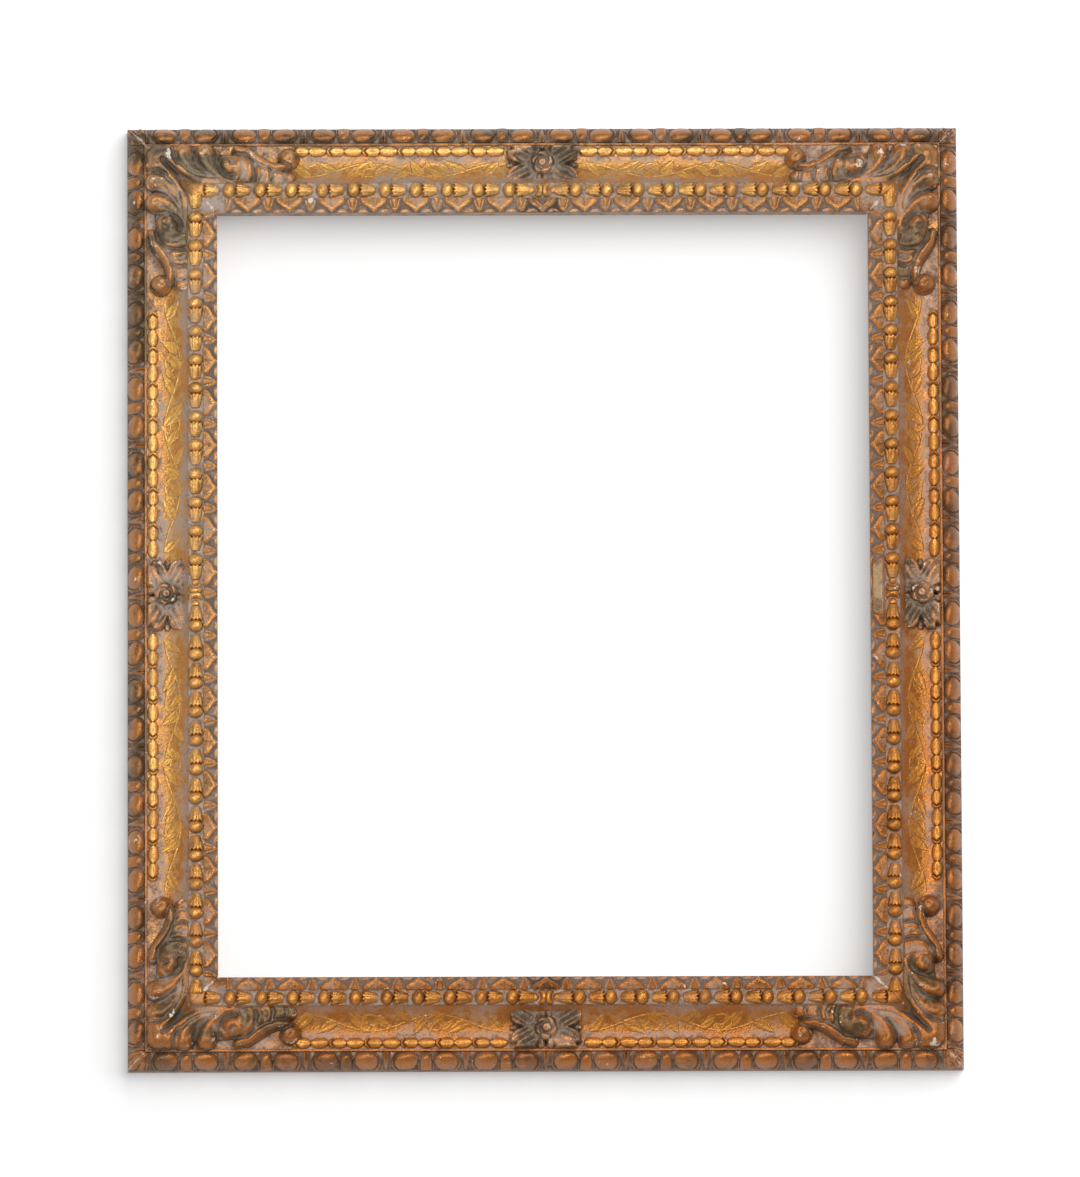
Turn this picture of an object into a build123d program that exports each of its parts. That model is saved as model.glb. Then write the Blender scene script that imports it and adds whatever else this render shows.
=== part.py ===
from build123d import *
import os
from math import cos, floor, hypot, pi, sin

# A carved and gilded wooden picture frame that hangs on a wall.
# Four half-lapped members make the back frame. On it lie three rings of mitred mouldings: the
# sight moulding with its bead row, the hollow frieze with its husk row, and the outer moulding,
# which reaches back to the wall. Carved leaf ornaments cover the mitres of the frieze, and a
# carved flower sits at the middle of each side. Strap hangers with swinging rings and turn
# buttons are screwed to the back frame, inside the recess that the outer moulding leaves.
#
# X runs along the top side, Z is up and -Y points out of the carved front. The wall is at y = 0.
# The origin is the centre of the top outer moulding's rear face, which bears on the wall.
# In a profile, s is the distance out from the sight edge and d the distance from the wall.

# Picture opening
sight_width = 600.0
sight_height = 710.0

# Widths of the bands, from the sight edge outwards
leaf_band_width = 12.8
bead_row_width = 14.4
hollow_width = 27.0
husk_row_width = 10.6
fillet_width = 2.6
egg_band_width = 15.6

# Heights of the carved front above the wall
sight_edge_height = 39.0
bead_seat_height = 45.5
hollow_top_height = 43.5
hollow_foot_height = 26.5
fillet_height = 27.5
egg_top_height = 26.0
egg_foot_height = 13.0

# Curves of the profile
hollow_sagitta = 4.0
husk_crown = 4.0
husk_top_width = 4.0
egg_sagitta = 3.6
row_margin = 0.8

# Bead row, spaced from the middle of each side towards the corners
bead_radius = 6.8
bead_rise = 7.0
bead_edge = 3.2
bead_sides = 6
bead_pitch_wide = 28.7
bead_pitch_tall = 26.6
first_bead = 30.6

# Back frame
back_recess = 5.5
back_thickness = 16.0
rebate_width = 6.0
rebate_step = 2.0
rebate_clearance = 0.5
peg_size = 8.0
peg_spacing = 26.0

# Carved ornaments are cut in flat facets and stay this far inside the bands that they cover
boss_sides = 8
ornament_margin = 0.6

# Corner leaf ornaments, measured along a side from the sight corner
leaf_bed_height = 33.0
cap_radius = 14.0
cap_height = 42.0
cap_edge = 6.0
lobe_radius = 9.0
lobe_height = 39.0
lobe_edge = 4.0
lobe_pitch = 17.5
volute_place = 20.0
volute_radius = 17.5
volute_height = 39.0
volute_edge = 3.5
eye_radius = 7.5
eye_height = 43.5
eye_edge = 3.0
rib_start = -34.0
rib_end = 8.0
rib_bulge = 5.5
rib_height = 43.0
leaflet_start = 30.0
leaflet_length = 24.0
leaflet_pitch = 18.0
leaflet_bulge = 5.0
leaflet_height = 41.0
blade_edge = 2.0
blade_shoulder = 0.3
stem_width = 5.0
curl_place = 68.0
curl_radius = 9.0
curl_height = 40.0
curl_edge = 4.5

# Centre flowers, measured from the middle of a side
petal_radius = 8.8
petal_near = 13.0
petal_far = 25.0
petal_spread = 9.4
petal_height = 38.0
petal_edge = 3.0
rosette_radius = 11.5
rosette_height = 42.5
rosette_edge = 2.5
knob_radius = 5.0
knob_height = 46.0
knob_edge = 2.0

# Screws, one for each strap hanger and turn button
screw_diameter = 3.5
screw_length = 12.0
screw_head_diameter = 7.4
screw_head_height = 2.0
screw_head_edge = 0.8
screw_sides = 8

# Strap hangers on the stiles, measured down from the top of the picture opening
hanger_drop = 165.0
strap_length = 28.0
strap_width = 12.0
strap_thickness = 1.2
strap_margin = 6.0
strap_screw_margin = 7.0
eye_wall = 1.1
eye_lift = 0.1
ring_wire = 2.5
ring_edge = 0.6
ring_leg = 18.0
ring_arm = 6.0
bow_steps = 6
ring_clearance = 0.05

# Turn buttons, one at the middle of each side
button_length = 34.0
button_width = 13.0
button_thickness = 1.4
button_corner = 3.8
button_inset = 12.0
button_clearance = 0.2
button_bore_clearance = 0.08
button_bore_sides = 12

# Bare title plate on the right sight moulding
plate_length = 49.0
plate_width = 8.6
plate_thickness = 0.8
plate_rise = 5.0
plate_corner = 2.6

# Places worked out from the sizes above
bead_row_start = leaf_band_width
hollow_start = bead_row_start + bead_row_width
husk_row_start = hollow_start + hollow_width
fillet_start = husk_row_start + husk_row_width
egg_band_start = fillet_start + fillet_width
moulding_width = egg_band_start + egg_band_width
bead_row_middle = bead_row_start + bead_row_width / 2
husk_row_middle = husk_row_start + husk_row_width / 2
frieze_middle = (hollow_start + fillet_start) / 2
ornament_inner = hollow_start + ornament_margin
ornament_outer = fillet_start - ornament_margin
outer_middle = (fillet_start + moulding_width) / 2
back_front = back_recess + back_thickness
back_inner = rebate_width + rebate_clearance
back_width = fillet_start - back_inner
back_middle = (back_inner + fillet_start) / 2
lap_depth = back_thickness / 2
frame_depth = bead_seat_height + bead_rise
frame_middle = -(sight_height / 2 + outer_middle)
ring_reach = hypot(ring_wire / 2, ring_wire / 2 - ring_edge)
eye_bore = ring_reach + ring_clearance
hinge_lift = eye_bore + eye_wall + eye_lift

# Each side by the way it faces, and each corner by the two sides that meet there
SIDES = {"top": (0, 1), "right": (1, 0), "bottom": (0, -1), "left": (-1, 0)}
CORNERS = [("top", "left"), ("top", "right"), ("bottom", "right"), ("bottom", "left")]
STILES = ("left", "right")


def sight_length(side):
    return sight_height if side in STILES else sight_width


def along_axis(side):
    """The direction in which the length of a side is measured."""
    out_x, out_z = SIDES[side]
    return Vector(out_z, 0, -out_x)


def side_point(side, along, s, d):
    """A point on one side: along its length, out from the sight edge, and out from the wall."""
    out_x, out_z = SIDES[side]
    reach = s + (sight_width if side in STILES else sight_height) / 2
    return Vector(out_x * reach, -d, frame_middle + out_z * reach) + along_axis(side) * along


def corner_point(side, neighbour, along, s, d):
    """A point on a side, measured from the corner that it shares with its neighbour."""
    towards = along_axis(side).dot(Vector(SIDES[neighbour][0], 0, SIDES[neighbour][1]))
    return side_point(side, towards * (sight_length(side) / 2 - along), s, d)


def front_view(point):
    """A point as seen from the front, in the axes of Plane.XZ."""
    return (point.X, point.Z)


def profile_plane(side):
    """The profile plane of a side: local x is s, local y is d, and the normal runs along it."""
    out_x, out_z = SIDES[side]
    return Plane(origin=side_point(side, 0, 0, 0), x_dir=(out_x, 0, out_z), z_dir=along_axis(side))


def wall_plane(point, x_dir=(1, 0, 0)):
    """A plane with its normal towards the wall."""
    return Plane(origin=point, x_dir=x_dir, z_dir=(0, 1, 0))


def sight_profile():
    """Leaf band, flat seat of the bead row and the rebate that holds the picture."""
    Polyline(
        (0, back_front + rebate_step),
        (0, sight_edge_height),
        (bead_row_start, bead_seat_height),
        (hollow_start, bead_seat_height),
        (hollow_start, back_front),
        (rebate_width, back_front),
        (rebate_width, back_front + rebate_step),
        close=True,
    )


def frieze_profile():
    """Hollow with the raised husk row at its foot."""
    husk_height = hollow_foot_height + husk_crown
    Polyline(
        (husk_row_start, hollow_foot_height),
        (husk_row_start + row_margin, hollow_foot_height),
        (husk_row_middle - husk_top_width / 2, husk_height),
        (husk_row_middle + husk_top_width / 2, husk_height),
        (fillet_start - row_margin, hollow_foot_height),
        (fillet_start, hollow_foot_height),
        (fillet_start, back_front),
        (hollow_start, back_front),
        (hollow_start, hollow_top_height),
    )
    SagittaArc((hollow_start, hollow_top_height), (husk_row_start, hollow_foot_height), -hollow_sagitta)


def outer_profile():
    """Fillet, rounded egg band and the plain outer side down to the wall."""
    Polyline(
        (moulding_width, egg_foot_height),
        (moulding_width, 0),
        (fillet_start, 0),
        (fillet_start, fillet_height),
        (egg_band_start, fillet_height),
        (egg_band_start, egg_top_height),
    )
    SagittaArc((egg_band_start, egg_top_height), (moulding_width, egg_foot_height), egg_sagitta)


def mitre_outline(side):
    """The mitred trapezium of one side, seen from the front."""
    half = sight_length(side) / 2
    ends = half + moulding_width
    corners = [(-half, 0), (half, 0), (ends, moulding_width), (-ends, moulding_width)]
    return [front_view(side_point(side, along, s, 0)) for along, s in corners]


def mitred_moulding(side, profile):
    """A moulding run along one side and mitred at both ends."""
    with BuildPart() as moulding:
        with BuildSketch(profile_plane(side)):
            with BuildLine():
                profile()
            make_face()
        extrude(amount=sight_length(side) / 2 + moulding_width, both=True)
        with BuildSketch(Plane.XZ):
            with BuildLine():
                Polyline(*mitre_outline(side), close=True)
            make_face()
        extrude(amount=frame_depth, mode=Mode.INTERSECT)
    return moulding.part


def bead_points(side):
    """The places of the beads, mirrored about the middle of a side."""
    pitch = bead_pitch_tall if side in STILES else bead_pitch_wide
    room = sight_length(side) / 2 + bead_row_start - first_bead
    places = [first_bead + step * pitch for step in range(floor(room / pitch) + 1)]
    return [side_point(side, end * along, bead_row_middle, 0) for end in (-1, 1) for along in places]


def plate_plane():
    """The slope of the leaf band under the title plate, with local x along the plate."""
    slope = Vector(bead_row_start, bead_seat_height - sight_edge_height).normalized()
    height = (sight_edge_height + bead_seat_height) / 2
    middle = side_point("right", -plate_rise, bead_row_start / 2, height)
    return Plane(origin=middle, x_dir=(0, 0, 1), z_dir=(-slope.Y, -slope.X, 0))


def sight_moulding(side):
    """The sight moulding with its row of carved beads."""
    with BuildPart() as moulding:
        add(mitred_moulding(side, sight_profile))
        with BuildSketch(Plane.XZ.offset(bead_seat_height)):
            with Locations(*[front_view(point) for point in bead_points(side)]):
                RegularPolygon(bead_radius, bead_sides, rotation=180 / bead_sides)
        extrude(amount=bead_rise)
        chamfer(moulding.faces().group_by(Axis.Y)[0].edges(), bead_edge)
    return moulding.part


def peg_places():
    """Two pegs through the lap at each corner, set along its diagonal."""
    shifts = [step * peg_spacing / 2 for step in (-1, 1)]
    return [
        corner_point(side, neighbour, -back_middle + shift, back_middle - shift, back_recess)
        for side, neighbour in CORNERS
        for shift in shifts
    ]


def button_place(side):
    """The pivot of a turn button on the rear face of a back member."""
    return side_point(side, 0, back_inner + button_inset, back_recess)


def hanger_plane(side):
    """A plane at the outer end of a strap on a stile, with local x along it towards the opening."""
    place = corner_point(side, "top", hanger_drop, fillet_start - strap_margin, back_recess)
    return wall_plane(place, x_dir=(-SIDES[side][0], 0, 0))


def strap_screw_plane(side):
    """The screw of a strap hanger."""
    plane = hanger_plane(side)
    return wall_plane(plane.from_local_coords(Vector(strap_screw_margin, 0, 0)))


def hinge_plane(side):
    """The middle of the hinge of a hanger's ring, with local x away from the strap."""
    plane = hanger_plane(side)
    place = plane.from_local_coords(Vector(strap_length, 0, hinge_lift))
    return wall_plane(place, x_dir=plane.x_dir)


def screw_planes(side):
    """The screws in the rear face of a back member."""
    planes = [wall_plane(button_place(side))]
    if side in STILES:
        planes.append(strap_screw_plane(side))
    return planes


def back_member(side):
    """One member of the back frame, half-lapped at both ends and cut for pegs and screws."""
    length = sight_length(side) + 2 * fillet_start
    lap_middle = sight_length(side) / 2 + back_middle
    laps = [side_point(side, end * lap_middle, back_middle, 0) for end in (-1, 1)]
    lap_start = back_recess if side in STILES else back_recess + lap_depth
    with BuildPart() as member:
        with BuildSketch(Plane.XZ.offset(back_recess)):
            with Locations(front_view(side_point(side, 0, back_middle, 0))):
                Rectangle(length, back_width, rotation=90 if side in STILES else 0)
        extrude(amount=back_thickness)
        with BuildSketch(Plane.XZ.offset(lap_start)):
            with Locations(*[front_view(lap) for lap in laps]):
                Rectangle(back_width, back_width)
        extrude(amount=lap_depth, mode=Mode.SUBTRACT)
        with BuildSketch(Plane.XZ.offset(back_recess)):
            with Locations(*[front_view(place) for place in peg_places()]):
                Rectangle(peg_size, peg_size)
        extrude(amount=back_thickness, mode=Mode.SUBTRACT)
        with BuildSketch(Plane.XZ.offset(back_recess)):
            with Locations(*[front_view(plane.origin) for plane in screw_planes(side)]):
                RegularPolygon(screw_diameter / 2, screw_sides)
        extrude(amount=screw_length, mode=Mode.SUBTRACT)
    return member.part


def boss(point, radius, height, edge):
    """A round carved boss on the frieze, with a sloped edge."""
    with BuildPart() as carved:
        with BuildSketch(Plane.XZ.offset(back_front)):
            with Locations(front_view(point)):
                RegularPolygon(radius, boss_sides)
        extrude(amount=height - back_front)
        chamfer(carved.faces().sort_by(Axis.Y)[0].edges(), edge)
    return carved.part


def blade(start, end, bulge, height):
    """A pointed leaf blade on the frieze between two points, with a sloped edge."""
    first = Vector(*front_view(start))
    last = Vector(*front_view(end))
    span = last - first
    across = span.normalized().rotate(Axis.Z, 90) * bulge
    near = first + span * blade_shoulder
    far = last - span * blade_shoulder
    with BuildPart() as carved:
        with BuildSketch(Plane.XZ.offset(back_front)):
            with BuildLine():
                Polyline(first, near + across, far + across, last, far - across, near - across, close=True)
            make_face()
        extrude(amount=height - back_front)
        chamfer(carved.faces().sort_by(Axis.Y)[0].edges(), blade_edge)
    return carved.part


def leaf_bed(points):
    """A flat stretch of leaf on the frieze that joins the carved bosses."""
    with BuildPart() as carved:
        with BuildSketch(Plane.XZ.offset(back_front)):
            with BuildLine():
                Polyline(*[front_view(point) for point in points], close=True)
            make_face()
        extrude(amount=leaf_bed_height - back_front)
    return carved.part


def corner_arm(arm):
    """Half of a corner leaf: lobes, volute with its eye, rib, leaflets, stem and curled end."""
    cap_s = ornament_outer - cap_radius
    lobe_s = ornament_outer - lobe_radius
    curl_s = ornament_outer - curl_radius
    volute_s = ornament_outer - volute_radius
    rib_s = ornament_inner + rib_bulge
    leaflet_s = ornament_inner + 2 * leaflet_bulge
    bed_s = ornament_inner + stem_width
    volute = corner_point(*arm, volute_place, volute_s, 0)
    pieces = [
        boss(volute, volute_radius, volute_height, volute_edge),
        boss(volute, eye_radius, eye_height, eye_edge),
        boss(corner_point(*arm, curl_place, curl_s, 0), curl_radius, curl_height, curl_edge),
        blade(
            corner_point(*arm, rib_start, rib_s + 2 * rib_bulge, 0),
            corner_point(*arm, rib_end, rib_s, 0),
            rib_bulge,
            rib_height,
        ),
        leaf_bed([
            corner_point(*arm, -cap_s, cap_s, 0),
            corner_point(*arm, volute_place, lobe_s, 0),
            corner_point(*arm, volute_place, bed_s, 0),
            corner_point(*arm, -bed_s, bed_s, 0),
        ]),
        leaf_bed([
            corner_point(*arm, volute_place, curl_s + stem_width / 2, 0),
            corner_point(*arm, curl_place, curl_s + stem_width / 2, 0),
            corner_point(*arm, curl_place, curl_s - stem_width / 2, 0),
            corner_point(*arm, volute_place, curl_s - stem_width / 2, 0),
        ]),
    ]
    for step in (1, 2):
        lobe = corner_point(*arm, -cap_s + step * lobe_pitch, lobe_s, 0)
        pieces.append(boss(lobe, lobe_radius, lobe_height, lobe_edge))
    for step in (0, 1):
        start = leaflet_start + step * leaflet_pitch
        tip = corner_point(*arm, start + leaflet_length, leaflet_s, 0)
        pieces.append(blade(corner_point(*arm, start, leaflet_s, 0), tip, leaflet_bulge, leaflet_height))
    return pieces


def corner_ornament(corner, mouldings):
    """A carved leaf that wraps the mitre and is seated on the mouldings under it."""
    cap_s = ornament_outer - cap_radius
    cap = boss(corner_point(*corner, -cap_s, cap_s, 0), cap_radius, cap_height, cap_edge)
    carvings = [cap] + corner_arm(corner) + corner_arm(corner[::-1])
    with BuildPart() as ornament:
        add(carvings)
        add(mouldings, mode=Mode.SUBTRACT)
    return ornament.part


def centre_flower(side, mouldings):
    """A flower of four two-lobed petals round a rosette with a knob, seated on the mouldings."""
    middle = side_point(side, 0, frieze_middle, 0)
    carvings = [
        boss(middle, rosette_radius, rosette_height, rosette_edge),
        boss(middle, knob_radius, knob_height, knob_edge),
    ]
    for end in (-1, 1):
        for across in (-1, 1):
            for along in (petal_near, petal_far):
                place = side_point(side, end * along, frieze_middle + across * petal_spread, 0)
                carvings.append(boss(place, petal_radius, petal_height, petal_edge))
    with BuildPart() as flower:
        add(carvings)
        add(mouldings, mode=Mode.SUBTRACT)
    return flower.part


def screw(plane, seat):
    """A screw with a shallow head, whose head sits a little way off the rear face."""
    with BuildPart() as turned:
        with BuildSketch(plane.offset(-screw_length)):
            RegularPolygon(screw_diameter / 2, screw_sides)
        extrude(amount=screw_length + seat)
        with BuildSketch(plane.offset(seat)):
            RegularPolygon(screw_head_diameter / 2, screw_sides)
        extrude(amount=screw_head_height)
        chamfer(turned.faces().sort_by(Axis.Y)[-1].edges(), screw_head_edge)
    return turned.part


def strap(side):
    """A hanger's strap: a thin plate rolled into an eye round the leg of the ring."""
    plane = hanger_plane(side)
    hinge = hinge_plane(side)
    across = Plane(origin=hinge.origin, x_dir=hinge.x_dir, z_dir=hinge.x_dir.cross(hinge.z_dir))
    with BuildPart() as bent:
        with BuildSketch(plane):
            with Locations((strap_length / 2, 0)):
                Rectangle(strap_length, strap_width)
        extrude(amount=strap_thickness)
        with BuildSketch(across):
            Circle(eye_bore + eye_wall)
        extrude(amount=strap_width / 2, both=True)
        with BuildSketch(across):
            Circle(eye_bore)
        extrude(amount=strap_width, both=True, mode=Mode.SUBTRACT)
        with BuildSketch(plane):
            with Locations((strap_screw_margin, 0)):
                RegularPolygon(screw_diameter / 2, screw_sides)
        extrude(amount=strap_thickness, mode=Mode.SUBTRACT)
    return bent.part


def ring(side):
    """A hanger's ring: a straight leg in the eye, two arms and a bow."""
    half = ring_leg / 2
    angles = [pi * (step / bow_steps - 0.5) for step in range(bow_steps + 1)]
    bow = [(ring_arm + half * cos(angle), half * sin(angle)) for angle in angles]
    with BuildPart() as bent:
        with BuildSketch(hinge_plane(side).offset(-ring_wire / 2)):
            with BuildLine():
                Polyline((0, half), (0, -half), *bow, close=True)
            make_face()
            offset(amount=ring_wire / 2, kind=Kind.INTERSECTION, mode=Mode.REPLACE)
            offset(amount=-ring_wire, kind=Kind.INTERSECTION, mode=Mode.SUBTRACT)
        extrude(amount=ring_wire)
        chamfer(bent.faces().filter_by(Axis.Y).edges(), ring_edge)
    return bent.part


def turn_button(side):
    """A turn button, parked along its side, with its pivot near one end."""
    plane = wall_plane(button_place(side), x_dir=along_axis(side)).offset(button_clearance)
    with BuildPart() as button:
        with BuildSketch(plane) as outline:
            with Locations((button_length / 2 - button_width / 2, 0)):
                Rectangle(button_length, button_width)
            chamfer(outline.vertices(), button_corner)
            bore_radius = screw_diameter / 2 + button_bore_clearance
            RegularPolygon(bore_radius, button_bore_sides, major_radius=False, mode=Mode.SUBTRACT)
        extrude(amount=button_thickness)
    return button.part


def peg_group():
    with BuildPart() as pegs:
        with BuildSketch(Plane.XZ.offset(back_recess)):
            with Locations(*[front_view(place) for place in peg_places()]):
                Rectangle(peg_size, peg_size)
        extrude(amount=back_thickness)
    return pegs.part


def title_plate():
    """A thin bare plate with cut corners on the slope of the leaf band."""
    with BuildPart() as plate:
        with BuildSketch(plate_plane()):
            Rectangle(plate_length, plate_width)
        extrude(amount=plate_thickness)
        normal = plate_plane().z_dir
        chamfer(plate.edges().filter_by(Axis((0, 0, 0), normal)), plate_corner)
    return plate.part


def keep(part, name):
    """Label a finished piece and write its file."""
    part.label = name
    export_step(part, "parts/" + name + ".step")


os.makedirs("parts", exist_ok=True)

plain_mouldings = {}
for side in SIDES:
    frieze = mitred_moulding(side, frieze_profile)
    outer = mitred_moulding(side, outer_profile)
    plain_mouldings[side] = [mitred_moulding(side, sight_profile), frieze, outer]
    member_name = "back_stile_" if side in STILES else "back_rail_"
    keep(back_member(side), member_name + side)
    keep(sight_moulding(side), "sight_moulding_" + side)
    keep(frieze, "frieze_" + side)
    keep(outer, "outer_moulding_" + side)
    keep(centre_flower(side, plain_mouldings[side]), "centre_flower_" + side)
    keep(turn_button(side), "turn_button_" + side)

for corner in CORNERS:
    under = plain_mouldings[corner[0]] + plain_mouldings[corner[1]]
    keep(corner_ornament(corner, under), "corner_ornament_" + "_".join(corner))

for side in STILES:
    keep(strap(side), "hanger_strap_" + side)
    keep(ring(side), "hanger_ring_" + side)

button_seat = button_thickness + 2 * button_clearance
button_screws = [screw(wall_plane(button_place(side)), button_seat) for side in SIDES]
keep(Compound(children=button_screws), "turn_button_screws")
hanger_screws = [screw(strap_screw_plane(side), strap_thickness) for side in STILES]
keep(Compound(children=hanger_screws), "hanger_screws")
keep(peg_group(), "lap_pegs")
keep(title_plate(), "title_plate")
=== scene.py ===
from math import cos, pi, radians, sin

import bpy
import numpy as np
from mathutils import Matrix, Vector


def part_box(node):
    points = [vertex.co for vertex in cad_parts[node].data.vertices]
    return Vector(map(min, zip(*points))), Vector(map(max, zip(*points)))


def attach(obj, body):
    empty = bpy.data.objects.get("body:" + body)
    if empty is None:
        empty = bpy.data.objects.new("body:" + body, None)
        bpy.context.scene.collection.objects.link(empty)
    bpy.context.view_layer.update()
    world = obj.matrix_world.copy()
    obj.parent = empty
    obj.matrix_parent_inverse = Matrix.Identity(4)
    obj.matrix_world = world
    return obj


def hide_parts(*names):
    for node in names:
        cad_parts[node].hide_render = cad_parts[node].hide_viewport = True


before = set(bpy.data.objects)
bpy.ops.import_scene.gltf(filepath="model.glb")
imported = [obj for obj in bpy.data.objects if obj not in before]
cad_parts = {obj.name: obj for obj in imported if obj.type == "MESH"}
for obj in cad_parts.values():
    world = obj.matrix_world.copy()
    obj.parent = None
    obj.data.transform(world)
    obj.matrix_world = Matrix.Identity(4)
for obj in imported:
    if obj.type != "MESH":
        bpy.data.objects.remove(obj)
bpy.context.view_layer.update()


# Back frame
# Two rails and two stiles of softwood, lapped at the corners and held by square pegs.
# It is bare, rough planed and brown with age, because only the wall side of it shows.
class Thread:
    """One socket of a node tree, so that the maths on it reads as plain expressions."""

    def __init__(self, tree, socket=None):
        self.tree, self.socket = tree, socket

    def node(self, kind, settings=None, sockets=None, out=0):
        made = self.tree.nodes.new(kind)
        for name, value in (settings or {}).items():
            setattr(made, name, value)
        for name, value in (sockets or {}).items():
            if isinstance(value, Thread):
                self.tree.links.new(value.socket, made.inputs[name])
            else:
                made.inputs[name].default_value = value
        return Thread(self.tree, made.outputs[out])

    def maths(self, operation, *values):
        return self.node("ShaderNodeMath", {"operation": operation}, dict(enumerate(values)))

    def __add__(self, other):
        return self.maths("ADD", self, other)

    def __sub__(self, other):
        return self.maths("SUBTRACT", self, other)

    def __rsub__(self, other):
        return self.maths("SUBTRACT", other, self)

    def __mul__(self, other):
        return self.maths("MULTIPLY", self, other)

    def __abs__(self):
        return self.maths("ABSOLUTE", self)

    __radd__, __rmul__ = __add__, __mul__

    def point(self, x=0.0, y=0.0, z=0.0):
        return self.node("ShaderNodeCombineXYZ", {}, {0: x, 1: y, 2: z})

    def axis(self, number):
        return self.node("ShaderNodeSeparateXYZ", {}, {0: self}, out=number)

    def between(self, low, high):
        """0 below low, 1 above high, with a soft step in between."""
        return self.node("ShaderNodeMapRange", {"interpolation_type": "SMOOTHSTEP"},
                         {"Value": self, "From Min": low, "From Max": high})


def pigment(colour):
    """A colour as it is seen, from 0 to 255, as the shader needs it. A thread stays as it is."""
    if isinstance(colour, Thread):
        return colour
    seen = np.array(colour) / 255
    return (*np.where(seen > 0.04045, ((seen + 0.055) / 1.055) ** 2.4, seen / 12.92), 1.0)


def laid(under, over, share, blend="MIX"):
    """One colour laid over another, by a share from 0 to 1."""
    return share.node("ShaderNodeMix", {"data_type": "RGBA", "blend_type": blend},
                      {0: share, 6: pigment(under), 7: pigment(over)}, out=2)


def surface(name):
    """A new material, the shader to feed and the place on the piece."""
    material = bpy.data.materials.new(name)
    material.use_nodes = True
    place = Thread(material.node_tree).node("ShaderNodeTexCoord", out="Object")
    return material, material.node_tree.nodes["Principled BSDF"], place


def feed(shader, **threads):
    for name, thread in threads.items():
        thread.tree.links.new(thread.socket, shader.inputs[name.replace("_", " ")])


def cloud(place, scale, detail=4.0, rough=0.55):
    """Soft spots from 0 to 1, so many to the metre."""
    return place.node("ShaderNodeTexNoise", {}, {
        "Vector": place, "Scale": scale, "Detail": detail, "Roughness": rough}).between(0.3, 0.7)


def uneven(shader, height, depth, strength):
    """Small unevenness of a surface, in metres."""
    feed(shader, Normal=height.node("ShaderNodeBump", {}, {
        "Height": height, "Distance": depth, "Strength": strength}))


def aged_softwood(name, stretch):
    """Softwood, its grain drawn out along one axis, grey where dust and hands have been."""
    material, shader, place = surface(name)
    drawn = place.node("ShaderNodeMapping", {}, {"Vector": place, "Scale": stretch})
    bands = cloud(drawn, 1.3, 3.0, 0.5)
    fibre = cloud(drawn, 9.0, 5.0, 0.7)
    grime = cloud(place, 14.0, 5.0, 0.6)
    wood = laid((160, 122, 78), (116, 80, 47), bands)
    wood = laid(wood, (78, 52, 31), fibre.between(0.5, 0.95) * 0.55)
    wood = laid(wood, (98, 83, 66), grime.between(0.35, 0.95) * 0.6)
    feed(shader, Base_Color=wood, Roughness=0.7 + fibre * 0.25)
    uneven(shader, fibre, 0.0006, 0.6)
    return material


def finish_node(name, material):
    """Gives a CAD node that stays in view its finish."""
    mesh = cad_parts[name].data
    mesh.materials.clear()
    mesh.materials.append(material)


rail_wood = aged_softwood("aged_softwood_rails", (9.0, 60.0, 60.0))
stile_wood = aged_softwood("aged_softwood_stiles", (60.0, 60.0, 9.0))
for name in ("back_rail_top", "back_rail_bottom"):
    finish_node(name, rail_wood)
for name in ("back_stile_left", "back_stile_right"):
    finish_node(name, stile_wood)

# Lap pegs
# Square pegs of harder, darker wood, driven through the corner laps and cut off flush.
# Only their end grain shows.
peg_wood, shader, place = surface("peg_end_grain")
rings = cloud(place, 420.0, 3.0, 0.6)
feed(shader, Roughness=0.7 + rings * 0.25,
     Base_Color=laid((126, 87, 52), (60, 40, 24), rings))
uneven(shader, rings, 0.0004, 0.5)
finish_node("lap_pegs", peg_wood)

# Outer moulding
# The rounded outer band, carved with eggs, tongues and darts, and the plain side down to the wall.
# Wood under gesso, bole and gilding, mitred at the corners; it is the brownest part of the frame.
SIDES = {"top": (0, 1), "right": (1, 0), "bottom": (0, -1), "left": (-1, 0)}
LEVEL_SIDES = ("top", "bottom")
sight_top, sight_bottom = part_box("sight_moulding_top")[0].z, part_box("sight_moulding_bottom")[1].z
half_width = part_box("sight_moulding_right")[0].x * 1000
half_height = (sight_top - sight_bottom) * 500
middle_height = (sight_top + sight_bottom) * 500
leaf_end, hollow_from, ridge_from, fillet_from, egg_from, edge = 12.8, 27.2, 54.2, 64.8, 67.4, 83.0
egg_middle, mitre_crack = 75.2, 0.2
sight_level, leaf_rise, fillet_level = 39, 6.5, 27.5
hollow_level, hollow_drop, hollow_sag = 43.5, 17, 18.8
egg_level, egg_drop, egg_swell = 26, 13, 18.4


def unit(values):
    """Values held between 0 and 1."""
    return np.clip(values, 0, 1)


def ground(s):
    """Height above the wall of the uncarved mouldings, by the distance out from the sight edge."""
    s = np.asarray(s, float)
    hollow = unit((s - hollow_from) / (ridge_from - hollow_from))
    egg = unit((s - egg_from) / (edge - egg_from))
    height = sight_level + leaf_rise * unit(s / leaf_end)
    hollow_height = hollow_level - hollow_drop * hollow - hollow_sag * hollow * (1 - hollow)
    height = np.where(s > hollow_from, hollow_height, height)
    height = np.where(s > fillet_from, fillet_level, height)
    return np.where(s > egg_from, egg_level - egg_drop * egg + egg_swell * egg * (1 - egg), height)


def half_rail(side):
    """Half the length of a rail at the sight edge."""
    return half_width if side in LEVEL_SIDES else half_height


def in_place(side, along, out, up):
    """Points along a rail, out from the sight edge and up from the wall, in the frame's axes."""
    out_x, out_z = SIDES[side]
    reach = out + (half_height if out_z else half_width)
    spots = [out_x * reach + out_z * along, -up, middle_height + out_z * reach - out_x * along]
    return np.stack(spots, 1) / 1000


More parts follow.
